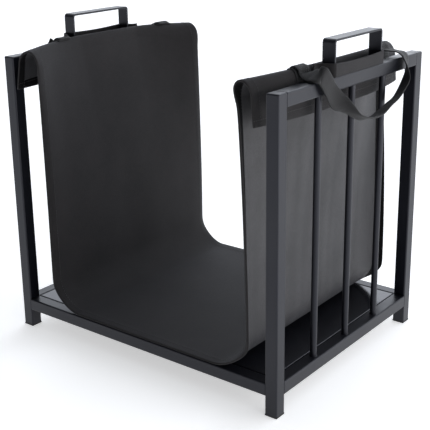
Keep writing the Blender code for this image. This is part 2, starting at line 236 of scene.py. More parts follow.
def mesh_object(name, vertices, faces, uvs=None, smooth=True):
    """A mesh object at the origin; uvs holds one pair for each vertex."""
    mesh = bpy.data.meshes.new(name)
    mesh.from_pydata([tuple(map(float, v)) for v in vertices], [], faces)
    mesh.update()
    if uvs is not None:
        layer = mesh.uv_layers.new(name="UVMap")
        corner = np.empty(len(mesh.loops), int)
        mesh.loops.foreach_get("vertex_index", corner)
        layer.data.foreach_set("uv", np.asarray(uvs, np.float32)[corner].ravel())
    if smooth:
        mesh.shade_smooth()
    return add_object(name, mesh)


def finish_piece(obj, material, body):
    obj.data.materials.clear()
    obj.data.materials.append(material)
    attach(obj, body)
    return obj


# ---- materials ---------------------------------------------------------------------------
def powder_coated_steel(name, colour, peel_size, roughness, ior=1.43):
    """Black polyester powder coat, baked: satin, with a fine orange peel and faint clouding."""
    material, tree, shader = new_material(name, IOR=ior, Specular_Tint=linear("#f3f4ff"))
    place = add_node(tree, "ShaderNodeTexCoord").outputs["Object"]
    clouds = noise_at(tree, place, Scale=14.0, Detail=3.0)
    tone = colour_ramp(tree, clouds, (0.3, shade(colour, 0.88)), (0.7, shade(colour, 1.12)))
    gloss = add_node(tree, "ShaderNodeMapRange", {"Value": clouds}, i1=0.3, i2=0.7,
                     i3=roughness - 0.04, i4=roughness + 0.04)
    peel = noise_at(tree, place, Scale=1 / peel_size, Detail=1.0)
    wire(tree, shader, {"Base Color": tone, "Roughness": gloss.outputs[0],
                        "Normal": bumps(tree, peel, 0.16, 0.0003)})
    return material


def moulded_polyethylene():
    """Injection-moulded polyethylene: dull black with a faint spark-eroded grain."""
    material, tree, shader = new_material("moulded_polyethylene", Roughness=0.55, IOR=1.51)
    place = add_node(tree, "ShaderNodeTexCoord").outputs["Object"]
    grain = noise_at(tree, place, Scale=900.0, Detail=2.0)
    base = linear("#131315")
    tone = colour_ramp(tree, grain, (0.3, shade(base, 0.8)), (0.7, shade(base, 1.3)))
    wire(tree, shader, {"Base Color": tone, "Normal": bumps(tree, grain, 0.3, 0.0002)})
    return material


def woven_wave(tree, uv, spacing, way):
    """Rounded threads one spacing apart; way is the direction across them, in U and V."""
    across = add_node(tree, "ShaderNodeVectorMath", {0: uv}, operation="DOT_PRODUCT",
                      i1=(*way, 0.0))
    turn = calculate(tree, "MULTIPLY", across.outputs["Value"], 2 * math.pi / spacing)
    return calculate(tree, "SINE", turn)


def woven_polyester(name, colour, spacing, roughness, painted_light_streaks=0.0, ior=1.45, sheen=0.12):
    """Coated 600-denier polyester, plain weave: matt charcoal on the log side, paler and
    smoother on the coated back, with soft mottling where the coating varies. The real thread
    spacing of about 0.5 mm is drawn about twice as coarse, so that it shows."""
    material, tree, shader = new_material(
        name, Roughness=roughness, IOR=ior, Sheen_Weight=sheen, Sheen_Roughness=0.45,
        Sheen_Tint=linear("#b9bcc6"))
    uv = add_node(tree, "ShaderNodeTexCoord").outputs["UV"]
    weave = calculate(tree, "MULTIPLY", woven_wave(tree, uv, spacing, (1.0, 0.0)),
                      woven_wave(tree, uv, spacing, (0.0, 1.0)))
    fuzz = noise_at(tree, uv, Scale=420.0, Detail=3.0)
    height = calculate(tree, "MULTIPLY_ADD", weave, fuzz, fuzz)
    mottle = noise_at(tree, uv, Scale=16.0, Detail=4.0, Roughness=0.6)
    uneven = calculate(tree, "MULTIPLY", mottle, 0.5)
    yarns = [((90.0, 620.0, 1.0), 0.24), ((620.0, 90.0, 1.0), 0.24)]    # thicker and thinner
    if painted_light_streaks:
        yarns.append(((3.0, 42.0, 1.0), painted_light_streaks))       # upright streaks of painted shade and painted highlight, for the bars' shadows and the sheen between them
    for stretch, share in yarns:
        drawn = add_node(tree, "ShaderNodeVectorMath", {0: uv}, operation="MULTIPLY", i1=stretch)
        yarn = noise_at(tree, drawn.outputs[0], Scale=1.0, Detail=1.0)
        uneven = calculate(tree, "MULTIPLY_ADD", yarn, share, uneven)
    tone = colour_ramp(tree, uneven, (0.38 + painted_light_streaks * 0.46, shade(colour, 0.74)),
                       (0.60 + painted_light_streaks * 0.54, shade(colour, 1.30)))
    # Painted shade: the colour is darkened where the weave is low, in the hollows between the
    # threads.
    white = [1.0, 1.0, 1.0, 1.0]
    thread = colour_ramp(tree, height, (0.1, shade(white, 0.78)), (0.9, white))
    mixed = add_node(tree, "ShaderNodeMix", {6: tone, 7: thread}, data_type="RGBA",
                     blend_type="MULTIPLY", Factor=1.0)
    wire(tree, shader, {"Base Color": mixed.outputs[2],
                        "Normal": bumps(tree, height, 0.5, 0.00025)})
    return material


def woven_webbing(name, colour, spacing):
    """Woven polypropylene webbing: dull, with ribs across it that show as fine bars, and
    wider ones along it; the bars are painted shade in the ribs' hollows and painted highlight on
    their tops."""
    material, tree, shader = new_material(
        name, Roughness=0.75, Sheen_Weight=0.12, Sheen_Roughness=0.4)
    uv = add_node(tree, "ShaderNodeTexCoord").outputs["UV"]
    ribs = calculate(tree, "MULTIPLY_ADD", woven_wave(tree, uv, spacing, (1.0, 0.0)), 0.5,
                     woven_wave(tree, uv, spacing * 1.3, (0.0, 1.0)))
    fuzz = noise_at(tree, uv, Scale=900.0, Detail=2.0)
    height = calculate(tree, "MULTIPLY_ADD", ribs, 0.35, fuzz)
    # Painted shade and highlight: darker in the rib hollows, lighter on the ribs.
    tone = colour_ramp(tree, height, (0.0, shade(colour, 0.7)), (1.0, shade(colour, 1.25)))
    wire(tree, shader, {"Base Color": tone, "Normal": bumps(tree, height, 0.6, 0.0003)})
    return material


def sewing_thread():
    """Spun polyester thread, a shade lighter than the cloth."""
    material, tree, shader = new_material("sewing_thread", Roughness=0.6, Sheen_Weight=0.2)
    place = add_node(tree, "ShaderNodeTexCoord").outputs["Object"]
    twist = noise_at(tree, place, Scale=2500.0, Detail=1.0)
    base = linear("#29282b")
    tone = colour_ramp(tree, twist, (0.3, shade(base, 0.8)), (0.7, shade(base, 1.2)))
    wire(tree, shader, {"Base Color": tone})
    return material


def webbing_material():
    name, cloth = "woven_webbing", bpy.context.scene.rack_cloth
    return bpy.data.materials.get(name) or woven_webbing(
        name, linear(cloth.webbing_colour), cloth.rib_spacing)


def cloth_material():
    name, cloth = "woven_polyester", bpy.context.scene.rack_cloth
    return bpy.data.materials.get(name) or woven_polyester(
        name, linear(cloth.cloth_colour), cloth.thread_spacing, 0.82)


# ---- the sling's shape -------------------------------------------------------------------
def mix(a, b, t):
    if isinstance(a, tuple):
        return tuple(mix(p, q, t) for p, q in zip(a, b))
    return a + (b - a) * t


def smooth_step(t):
    t = min(max(t, 0.0), 1.0)
    return t * t * (3 - 2 * t)


# Cross-sections of a sling side, as pairs of distance inboard of the frame's outer face and
# height: the foot, the fold's inner shoulder, its crest, its outer shoulder, the hem, the curl.
FOLD_MIDDLE = (0.074, (0.036, FRAME_HEIGHT + 0.001), (0.029, FRAME_HEIGHT + 0.0165),
               (FLAP_DEPTH, FRAME_HEIGHT + 0.004), (FLAP_DEPTH, RAIL_UNDER - 0.028), 0.0)
FOLD_END = {
    "left": (0.084, (0.081, RAIL_UNDER - 0.006), (0.056, FRAME_HEIGHT + 0.011),
             (0.033, RAIL_UNDER + 0.008), (0.0255, RAIL_UNDER - 0.030), 0.006),
    "right": (0.064, (0.079, RAIL_UNDER - 0.006), (0.060, FRAME_HEIGHT + 0.011),
              (0.043, RAIL_UNDER + 0.008), (0.040, RAIL_UNDER - 0.028), 0.014),
}
FOOT, SHOULDER, CREST, OUTER, HEM, CURL = range(6)


def fold_at(side, y):
    """The cross-section at depth y: drawn in beside the handle, open at the ends."""
    straight = HANDLE_LENGTH / 2
    edge = SLING_BACK if y > 0 else -SLING_FRONT
    t = min(max((abs(y) - straight) / (edge - straight), 0.0), 1.0)
    end = FOLD_END[side]
    fold = list(mix(FOLD_MIDDLE, end, t * (0.35 + 0.65 * t)))
    fold[FOOT] = end[FOOT]
    fold[CURL] = end[CURL] * math.exp((abs(y) - edge) / EDGE_CURL_LENGTH)
    return fold


def quarter(crest, shoulder, steps):
    """A quarter of an ellipse from a shoulder of the fold up to its crest."""
    width, rise = shoulder[0] - crest[0], crest[1] - shoulder[1]
    turns = [math.pi / 2 * i / steps for i in range(steps + 1)]
    return [(crest[0] + width * math.cos(a), shoulder[1] + rise * math.sin(a)) for a in turns]


def half_profile(side, y):
    """One side of the sling from the hem up, over the fold and down to the bottom."""
    fold = fold_at(side, y)
    turn = CLOTH_BOTTOM + SLING_BEND
    points = [mix(fold[HEM], fold[OUTER], i / FLAP_STEPS) for i in range(FLAP_STEPS)]
    points += quarter(fold[CREST], fold[OUTER], OUTER_FOLD_STEPS)[:-1]
    sheet = quarter(fold[CREST], fold[SHOULDER], INNER_FOLD_STEPS)[::-1]
    for i in range(1, SIDE_STEPS):
        t = i / SIDE_STEPS
        across = mix(fold[SHOULDER][0], fold[FOOT], 1 - (1 - t) ** 2)
        sheet.append((across, mix(fold[SHOULDER][1], turn, t)))
    for i in range(BEND_STEPS + 1):
        a = math.radians(180 + 90 * i / BEND_STEPS)
        sheet.append((fold[FOOT] + SLING_BEND + SLING_BEND * math.cos(a),
                      turn + SLING_BEND * math.sin(a)))
    for across, z in sheet:
        rise = smooth_step((z - CLOTH_BOTTOM) / (0.8 * SLING_BEND))
        fall = smooth_step((fold[CREST][1] - z) / (0.8 * SLING_BEND))
        points.append((across - fold[CURL] * rise * fall, z))
    return points


def sling_row(y):
    left = [(-(HALF_W - d), y, z) for d, z in half_profile("left", y)]
    right = [(HALF_W - d, y, z) for d, z in half_profile("right", y)]
    start, end = Vector(left[-1]), Vector(right[-1])
    middle = [tuple(start.lerp(end, i / BOTTOM_STEPS)) for i in range(1, BOTTOM_STEPS)]
    return left + middle + right[::-1]


def sling_depths(count):
    """Depths of the cross-sections, closer together at the free edges."""
    depths = []
    for i in range(count):
        s = math.sin(math.pi * (i / (count - 1) - 0.5))
        t = 0.55 * s + 0.45 * (2 * i / (count - 1) - 1)
        depths.append(t * SLING_BACK if t > 0 else -t * SLING_FRONT)
    return depths


def unit(vector):
    return vector / max(np.linalg.norm(vector), 1e-12)


def grid_normals(grid):
    """Unit normals of a grid of points."""
    du, dv = np.gradient(grid, axis=1), np.gradient(grid, axis=0)
    normal = np.cross(dv, du)
    return normal / np.maximum(np.linalg.norm(normal, axis=2, keepdims=True), 1e-12)


def arc_lengths(line):
    """Distance along a line of points to each of them."""
    step = np.linalg.norm(np.diff(line, axis=0), axis=1)
    return np.concatenate([[0], np.cumsum(step)])


def grid_uv(grid):
    """Distances in metres along the middle row and the middle column, for each point."""
    rows, columns = grid.shape[:2]
    along = arc_lengths(grid[rows // 2]), arc_lengths(grid[:, columns // 2])
    return np.stack(np.meshgrid(*along), axis=2)


def edge_ring(rows, columns):
    """The places round the edge of a grid, in order."""
    ring = [(0, j) for j in range(columns)]
    ring += [(i, columns - 1) for i in range(1, rows)]
    ring += [(rows - 1, j) for j in range(columns - 2, -1, -1)]
    ring += [(i, 0) for i in range(rows - 2, 0, -1)]
    return ring


def edge_outward(grid, i, j):
    """Unit direction out of the grid, in its own surface, at a place on its edge."""
    out = np.zeros(3)
    if i == 0:
        out += unit(grid[0, j] - grid[1, j])
    if i == grid.shape[0] - 1:
        out += unit(grid[-1, j] - grid[-2, j])
    if j == 0:
        out += unit(grid[i, 0] - grid[i, 1])
    if j == grid.shape[1] - 1:
        out += unit(grid[i, -1] - grid[i, -2])
    return unit(out)


def thick_sheet(name, grid, thickness):
    """A closed sheet of that thickness about a grid of points, with rounded edges. thickness
    is a number or one value for each point."""
    grid = np.asarray(grid, float)
    normal, uv = grid_normals(grid), grid_uv(grid)
    rows, columns = grid.shape[:2]
    half = (np.zeros((rows, columns)) + thickness)[:, :, None] / 2
    vertices = [*(grid + normal * half).reshape(-1, 3), *(grid - normal * half).reshape(-1, 3)]
    uvs = list(uv.reshape(-1, 2)) * 2
    under = rows * columns
    faces = []
    for i in range(rows - 1):
        for j in range(columns - 1):
            a = i * columns + j
            b, c, d = a + 1, a + columns + 1, a + columns
            faces.append((a, d, c, b))
            faces.append((under + a, under + b, under + c, under + d))
    ring = edge_ring(rows, columns)
    outward = [edge_outward(grid, i, j) for i, j in ring]
    loops = [[i * columns + j for i, j in ring]]
    for step in range(1, EDGE_STEPS + 1):
        angle = math.pi * step / (EDGE_STEPS + 1)
        loops.append(list(range(len(vertices), len(vertices) + len(ring))))
        for (i, j), out in zip(ring, outward):
            lift = normal[i, j] * half[i, j] * math.cos(angle)
            vertices.append(grid[i, j] + lift + out * half[i, j] * math.sin(angle) * 0.8)
            uvs.append(uv[i, j])
    loops.append([under + i * columns + j for i, j in ring])
    for upper, lower in zip(loops, loops[1:]):
        for k in range(len(ring)):
            n = (k + 1) % len(ring)
            faces.append((upper[k], upper[n], lower[n], lower[k]))
    return mesh_object(name, vertices, faces, uvs)


def soft_waves(points, size, seed):
    """Smooth random heights from -1 to 1, one for each point."""
    shift = Vector((seed, seed, seed))
    return np.array([[noise.noise(Vector(p) / size + shift) for p in row] for row in points])


def sling_grid():
    """The cloth's middle surface, with slight waves where nothing holds it."""
    grid = np.array([sling_row(y) for y in sling_depths(DEPTH_ROWS)])
    inboard, height = HALF_W - np.abs(grid[:, :, 0]), grid[:, :, 2]
    free = np.clip((inboard - 0.034) / 0.03, 0, 1)
    free *= np.clip((height - BASE_TOP - 0.006) / 0.03, 0, 1)
    free *= np.clip((RAIL_UNDER + 0.010 - height) / 0.04, 0, 1)
    tall = grid * (1, 1, 0.25)      # the cloth hangs in long upright waves
    waves = 0.0014 * soft_waves(tall, 0.09, 3.0) + 0.0007 * soft_waves(tall, 0.04, 8.0)
    return grid + grid_normals(grid) * (waves * free)[:, :, None]


# ---- sewing and welding ------------------------------------------------------------------
def start_tree(name, sockets):
    """A geometry tree with a mesh in and out; sockets maps its other inputs to their kinds."""
    tree = bpy.data.node_groups.new(name, "GeometryNodeTree")
    inputs = {"Geometry": "Geometry", **sockets}
    for label, kind in inputs.items():
        tree.interface.new_socket(label, in_out="INPUT", socket_type="NodeSocket" + kind)
    tree.interface.new_socket("Geometry", in_out="OUTPUT", socket_type="NodeSocketGeometry")
    return tree, tree.nodes.new("NodeGroupInput").outputs


def end_tree(tree, geometry, material):
    real = add_node(tree, "GeometryNodeRealizeInstances", {"Geometry": geometry})
    smooth = add_node(tree, "GeometryNodeSetShadeSmooth", {"Geometry": real.outputs[0]})
    painted = add_node(tree, "GeometryNodeSetMaterial",
                       {"Geometry": smooth.outputs[0], "Material": material})
    add_node(tree, "NodeGroupOutput", {0: painted.outputs[0]})
    return tree


def stitch_tree():
    """Stitches along the input's edges: short capsules, one spacing apart."""
    tree, given = start_tree("stitches", {
        "Spacing": "Float", "Length": "Float", "Radius": "Float", "Thread": "Material"})
    path = add_node(tree, "GeometryNodeMeshToCurve", {"Mesh": given["Geometry"]})
    spaced = add_node(tree, "GeometryNodeResampleCurve",
                      {"Curve": path.outputs[0], "Length": given["Spacing"]}, mode="LENGTH")
    ball = add_node(tree, "GeometryNodeMeshUVSphere", Segments=6, Rings=4, Radius=1.0)
    size = add_node(tree, "ShaderNodeCombineXYZ", {
        "X": given["Radius"], "Y": given["Radius"],
        "Z": calculate(tree, "MULTIPLY", given["Length"], 0.5)})
    tangent = add_node(tree, "GeometryNodeInputTangent")
    turn = add_node(tree, "FunctionNodeAlignRotationToVector",
                    {"Vector": tangent.outputs[0]}, axis="Z")
    placed = add_node(tree, "GeometryNodeInstanceOnPoints", {
        "Points": spaced.outputs[0], "Instance": ball.outputs["Mesh"],
        "Rotation": turn.outputs[0], "Scale": size.outputs[0]})
    return end_tree(tree, placed.outputs[0], given["Thread"])


def bead_tree():
    """A round bead along the input's edges."""
    tree, given = start_tree("weld_beads", {"Radius": "Float", "Coat": "Material"})
    path = add_node(tree, "GeometryNodeMeshToCurve", {"Mesh": given["Geometry"]})
    ring = add_node(tree, "GeometryNodeCurvePrimitiveCircle", {"Radius": given["Radius"]},
                    Resolution=8)
    bead = add_node(tree, "GeometryNodeCurveToMesh",
                    {"Curve": path.outputs[0], "Profile Curve": ring.outputs[0]})
    return end_tree(tree, bead.outputs[0], given["Coat"])


def made_by_nodes(name, paths, closed, tree, values):
    """Runs a node tree on polylines and returns the result as a plain mesh object."""
    vertices, edges = [], []
    for path in paths:
        start = len(vertices)
        vertices += [tuple(map(float, p)) for p in path]
        edges += [(start + i, start + i + 1) for i in range(len(path) - 1)]
        if closed:
            edges.append((start + len(path) - 1, start))
    guide_mesh = bpy.data.meshes.new(name + "_guide")
    guide_mesh.from_pydata(vertices, edges, [])
    guide = add_object(name + "_guide", guide_mesh)
    modifier = guide.modifiers.new("made", "NODES")
    modifier.node_group = tree
    for item in tree.interface.items_tree:
        if item.in_out == "INPUT" and item.name in values:
            modifier[item.identifier] = values[item.name]
    bpy.context.view_layer.update()
    evaluated = guide.evaluated_get(bpy.context.evaluated_depsgraph_get())
    mesh = bpy.data.meshes.new_from_object(evaluated)
    mesh.name = name
    bpy.data.objects.remove(guide)
    bpy.data.meshes.remove(guide_mesh)
    if not mesh.polygons:
        raise RuntimeError(f"{name} came out empty")
    shell = bmesh.new()
    shell.from_mesh(mesh)
    bmesh.ops.recalc_face_normals(shell, faces=shell.faces)
    shell.to_mesh(mesh)
    shell.free()
    return add_object(name, mesh)


def sew(name, paths, body):
    cloth = bpy.context.scene.rack_cloth
    thread = bpy.data.materials.get("sewing_thread") or sewing_thread()
    tree = bpy.data.node_groups.get("stitches") or stitch_tree()
    values = {"Spacing": cloth.stitch_spacing, "Length": cloth.stitch_length,
              "Radius": cloth.thread_radius, "Thread": thread}
    return finish_piece(made_by_nodes(name, paths, False, tree, values), thread, body)


def point_on(face, u, v):
    """The point on a grid at that share of the way along it and across it."""
    i, k = u * (face.shape[0] - 1), v * (face.shape[1] - 1)
    row, column = min(int(i), face.shape[0] - 2), min(int(k), face.shape[1] - 2)
    i, k = i - row, k - column
    low = face[row, column] * (1 - k) + face[row, column + 1] * k
    high = face[row + 1, column] * (1 - k) + face[row + 1, column + 1] * k
    return low * (1 - i) + high * i


def box_stitches(face):
    """A sewn box with a cross in it on a strip of webbing."""
    corners = [(0.12, 0.12), (0.88, 0.12), (0.88, 0.88), (0.12, 0.88)]
    lines = list(zip(corners, corners[1:] + corners[:1])) + [corners[::2], corners[1::2]]
    return [[point_on(face, *mix(a, b, t / 12)) for t in range(13)] for a, b in lines]


def resample(path, spacing=None, count=None):
    """Evenly spaced points along a polyline: that many, or about one spacing apart."""
    path = np.asarray(path, float)
    at = arc_lengths(path)
    where = np.linspace(0, at[-1], count or max(int(at[-1] / spacing), 2))
    return np.stack([np.interp(where, at, column) for column in path.T], axis=1)


def seam_line(skin, distance, at):
    """A seam where the distance along each row of a skin is at."""
    line = [[np.interp(at, along, row[:, k]) for k in range(3)]
            for along, row in zip(distance, skin)]
    return resample(line, SEAM_SPACING)


# ---- straps, bands and patches -------------------------------------------------------------
# The strap's route, as in the frame. Each row is the share of the way in from the rail's outer
# face to the patch, the distance outboard of that, the share of the way from the front patch
# to the back one and the height above the rail, then the direction of the webbing's width.
STRAP_ROUTE = [
    ((1.0, 0.0, 0.0, 0.0025), (0.0, 1.0, 0.0)),
    ((1.0, 0.0, 0.0, 0.006), (0.0, 0.98, 0.2)),
    ((0.66, 0.0, -0.006, 0.0085), (0.05, 0.88, 0.46)),
    ((0.16, 0.0, -0.013, 0.0095), (0.1, 0.84, 0.52)),
    ((0.0, 0.0046, 0.0, 0.009), (0.05, 0.62, 0.78)),
    ((0.0, 0.0068, 0.034, -0.0005), (0.05, 0.6, 0.79)),
    ((0.0, 0.0072, 0.089, -0.0165), (0.1, 0.6, 0.78)),
    ((0.0, 0.0085, 0.148, -0.031), (0.45, 0.5, 0.74)),
    ((0.0, 0.0128, 0.212, -0.0425), (0.9, 0.15, 0.35)),
    ((0.0, 0.0148, 0.275, -0.0525), (0.99, -0.05, 0.08)),
    ((0.0, 0.0157, 0.352, -0.061), (0.99, -0.03, 0.11)),
    ((0.0, 0.016, 0.449, -0.068), (0.97, 0.02, 0.25)),
    ((0.0, 0.016, 0.559, -0.068), (0.95, -0.02, 0.33)),
    ((0.0, 0.015, 0.669, -0.062), (0.89, -0.05, 0.44)),
    ((0.0, 0.014, 0.775, -0.056), (0.88, -0.05, 0.46)),
    ((0.0, 0.0127, 0.869, -0.049), (0.81, -0.18, 0.55)),
    ((0.0, 0.0122, 0.945, -0.036), (0.8, -0.35, 0.45)),
    ((0.0, 0.0108, 0.979, -0.024), (0.65, -0.62, 0.35)),
    ((0.0, 0.0085, 0.996, -0.01), (0.35, -0.88, 0.28)),
    ((0.0, 0.0048, 1.0, 0.0015), (0.1, -0.96, 0.2)),
    ((0.11, 0.0, 1.0, 0.0075), (0.0, -0.99, 0.12)),
    ((0.63, 0.0, 1.0, 0.0085), (0.0, -0.99, 0.1)),
    ((1.0, 0.0, 1.0, 0.006), (0.0, -1.0, 0.05)),
    ((1.0, 0.0, 1.0, 0.0025), (0.0, -1.0, 0.0)),
]


def smooth_path(points, steps):
    points = [Vector(point) for point in points]
    ends = [2 * points[0] - points[1], *points, 2 * points[-1] - points[-2]]
    curve = []
    for a, b, c, d in zip(ends, ends[1:], ends[2:], ends[3:]):
        for i in range(steps):
            t = i / steps
            curve.append(b + (c - a) * (t / 2) + (a * 2 - b * 5 + c * 4 - d) * (t * t / 2)
                         + (b * 3 - a - c * 3 + d) * (t ** 3 / 2))
    return curve + [points[-1]]


def patch_middle(label):
    off = STRAP_OFF_HANDLE[0] if label == "front" else STRAP_OFF_HANDLE[1]
    return (HANDLE_LENGTH / 2 + off) * (-1 if label == "front" else 1)


def strap_route(side):
    sx = SIDES[side]
    front, back = patch_middle("front"), patch_middle("back")
    route = []
    for (inboard, out, share, rise), (wx, wy, wz) in STRAP_ROUTE:
        sewn = front if share < 0.5 else back
        nearest = fold_at(side, sewn - math.copysign(STRAP_WIDTH / 2, sewn))[OUTER][0]
        seat = nearest - CLOTH / 2 - PATCH_THICKNESS - 0.0006 - STRAP_THICKNESS / 2
        if inboard == 1.0:
            seat -= 0.15 * (rise - 0.0025)
        if side == "left" and share < 0.1:      # the left strap's front end lies flatter
            flat = 1 - smooth_step(share / 0.1)
            rise -= flat * 0.8 * max(rise - 0.0025, 0.0)
            wz *= 1 - 0.75 * flat
        x = sx * (HALF_W + out - inboard * seat)
        route.append((x, mix(front, back, share), FRAME_HEIGHT + rise, sx * wx, wy, wz))
    return route


def sewn_end(side, y):
    """The webbing's route over the fold, on top of the patch, down to where it leaves it."""
    offset = VISIBLE_CLOTH / 2 + PATCH_THICKNESS + 0.0003 + STRAP_THICKNESS / 2
    strip = fold_strip(side, y, PATCH_TURN * 0.7, offset)[::-1]
    leave = FRAME_HEIGHT + 0.0095
    strip = [p for i, p in enumerate(strip) if p[1] > leave or i < 3]
    return [(SIDES[side] * (HALF_W - d), y, z, 0.0, 1.0, 0.0) for d, z in resample(strip, 0.004)]


def strap_grid(side):
    """The webbing's middle surface, slightly cupped across its width, and how many of its rows
    are sewn down at each end."""
    front, back = (sewn_end(side, patch_middle(label)) for label in ("front", "back"))
    back = [(*p[:3], 0.0, -1.0, 0.0) for p in back[::-1]]
    points = [Vector(p) for p in front + strap_route(side)[2:-2] + back]
    route = smooth_path(points, ROUTE_STEPS)
    grid = []
    for i, point in enumerate(route):
        before, after = route[max(i - 1, 0)], route[min(i + 1, len(route) - 1)]
        along = Vector((after - before)[:3]).normalized()
        across = Vector(point[3:])
        across = (across - along * across.dot(along)).normalized()
        normal = across.cross(along)
        cup = 0.0006 * min(i, len(route) - 1 - i, 40) / 40
        row = []
        for k in range(STRAP_STEPS + 1):
            s = 2 * k / STRAP_STEPS - 1
            aside = across * (s * STRAP_WIDTH / 2 * 0.985)
            row.append(tuple(Vector(point[:3]) + aside + normal * (cup * (1 - s * s))))
        grid.append(row)
    return np.array(grid), [ROUTE_STEPS * (len(end) - 1) for end in (front, back)]


def band_grid(side, rows=7):
    """The band's middle surface from its sewn front end, outside the legs, to the back end."""
    leg = HANDLE_LENGTH / 2
    outside = -0.0012 - BAND_THICKNESS / 2
    end = leg + BAND_REACH
    low, high = FRAME_HEIGHT + 0.0012, FRAME_HEIGHT + 0.0012 + BAND_HEIGHT
    sewn = FLAP_DEPTH - CLOTH / 2 - 0.0003 - BAND_THICKNESS / 2
    half = [(sewn, end), (sewn - 0.0012, end - 0.008), (mix(sewn, outside, 0.45), leg + 0.008),
            (outside + 0.0015, leg + 0.002), (outside, leg - 0.006), (outside, leg / 3)]
    path = smooth_path([(d, -y) for d, y in half] + half[::-1], 10)
    grid = []
    for k in range(rows):
        t = k / (rows - 1)
        line = []
        for d, y in path:
            loose = max(1 - (y / leg) ** 2, 0.0)
            bulge = 0.0006 * math.sin(math.pi * t) * loose
            line.append((SIDES[side] * (HALF_W - d + bulge), y,
                         mix(low, high - 0.0022 * loose, t)))
        grid.append(line)
    return np.array(grid)


def fold_strip(side, y, reach, offset):
    """Points that follow the fold at depth y from its outer shoulder over its crest, and down
    by reach on the inside, pushed outwards."""
    steps = 12
    fold = fold_at(side, y)
    points = quarter(fold[CREST], fold[OUTER], steps)
    inner = quarter(fold[CREST], fold[SHOULDER], 4 * steps)[-2::-1]
    points += [p for p in inner if fold[CREST][1] - p[1] < reach]
    points = points[:int(1.9 * steps) + 1]
    pushed = []
    for i, point in enumerate(points):
        before, after = points[max(i - 1, 0)], points[min(i + 1, len(points) - 1)]
        along = (Vector(after) - Vector(before)).normalized()
        pushed.append((point[0] - along.y * offset, point[1] + along.x * offset))
    return pushed


def patch_grid(side, label):
    offset = VISIBLE_CLOTH / 2 + 0.0001 + PATCH_THICKNESS / 2
    rows = []
    for i in range(9):
        y = patch_middle(label) + PATCH_WIDTH * 0.98 * (i / 8 - 0.5)
        strip = resample(fold_strip(side, y, PATCH_TURN, offset), count=22)
        rows.append([(SIDES[side] * (HALF_W - d), y, z) for d, z in strip])
    return np.array(rows)


# ---- the stage's and the frame's pieces ----------------------------------------------------
def add_floor():
    square = ((-1, -1), (1, -1), (1, 1), (-1, 1))
    floor = mesh_object("stage_floor", [(x * FLOOR_HALF, y * FLOOR_HALF, 0) for x, y in square],
                        [(0, 1, 2, 3)], smooth=False)
    material, tree, shader = new_material(      # the emission is a floor lit from below
        "lit_acrylic_floor", Roughness=0.9, Emission_Color=linear("#ffffff"),
        Emission_Strength=0.52)
    place = add_node(tree, "ShaderNodeTexCoord").outputs["Object"]
    tone = colour_ramp(tree, noise_at(tree, place, Scale=0.8),
                       (0.0, linear("#f7f7f8")), (1.0, linear("#fbfbfb")))
    wire(tree, shader, {"Base Color": tone})
    floor.data.materials.append(material)


def add_world(scene):
    """A dim room with a wide soft glow in each of the light's directions."""
    scene.world = bpy.data.worlds.new("studio")
    scene.world.use_nodes = True
    tree = scene.world.node_tree
    tree.nodes.clear()
    way = add_node(tree, "ShaderNodeTexCoord").outputs["Generated"]
    total = 0.0
    for direction, strength in LIGHT_LOBES:
        toward = add_node(tree, "ShaderNodeVectorMath", {0: way}, operation="DOT_PRODUCT",
                          i1=Vector(direction).normalized())
        above = calculate(tree, "MAXIMUM", toward.outputs["Value"], 0.0)
        soft = calculate(tree, "POWER", above, 2.0)
        total = calculate(tree, "MULTIPLY_ADD", soft, strength, total)
    glow = add_node(tree, "ShaderNodeBackground", {"Strength": total}, Color=linear("#f2f7ff"))
    add_node(tree, "ShaderNodeOutputWorld", {0: glow.outputs[0]})


def add_softbox():
    light = bpy.data.lights.new("softbox_right", "AREA")
    light.shape = "RECTANGLE"
    light.size, light.size_y = SOFTBOX_SIZE
    light.energy = SOFTBOX_POWER
    softbox = add_object("softbox_right", light)
    softbox.location = SOFTBOX_PLACE
    aim = Vector(SOFTBOX_TARGET) - Vector(SOFTBOX_PLACE)
    softbox.rotation_euler = aim.to_track_quat("-Z", "Y").to_euler()


def add_camera(scene):
    camera = bpy.data.cameras.new("camera")
    camera.lens = CAMERA_LENS
    camera.sensor_width = CAMERA_SENSOR
    camera.shift_y = CAMERA_SHIFT
    camera.clip_start, camera.clip_end = 0.05, 60
    scene.camera = add_object("camera", camera)
    azimuth, elevation, roll = (math.radians(v) for v in CAMERA_TURN)
    back = Vector((math.sin(azimuth) * math.cos(elevation),
                   -math.cos(azimuth) * math.cos(elevation), math.sin(elevation)))
    aim = (-back).to_track_quat("-Z", "Y").to_matrix()
    scene.camera.rotation_euler = (aim @ Matrix.Rotation(roll, 3, "Z")).to_euler()
    scene.camera.location = CAMERA_PLACE


def paint(name, material):
    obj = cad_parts[name]
    for slot in obj.material_slots:
        slot.material = material
    if not obj.material_slots:
        raise RuntimeError(f"{name} has no material slot")


def square_ring(axis, at, centre, half_a, half_b, corner):
    """A rounded rectangle in the plane where axis is at; centre and halves are on the others."""
    points = []
    for ca, cb, start in ((1, 1, 0), (-1, 1, 90), (-1, -1, 180), (1, -1, 270)):
        for i in range(4):
            a = math.radians(start + 30 * i)
            points.append((centre[0] + ca * (half_a - corner) + corner * math.cos(a),
                           centre[1] + cb * (half_b - corner) + corner * math.sin(a)))
    return [tuple(np.insert(np.array(p), axis, at)) for p in points]


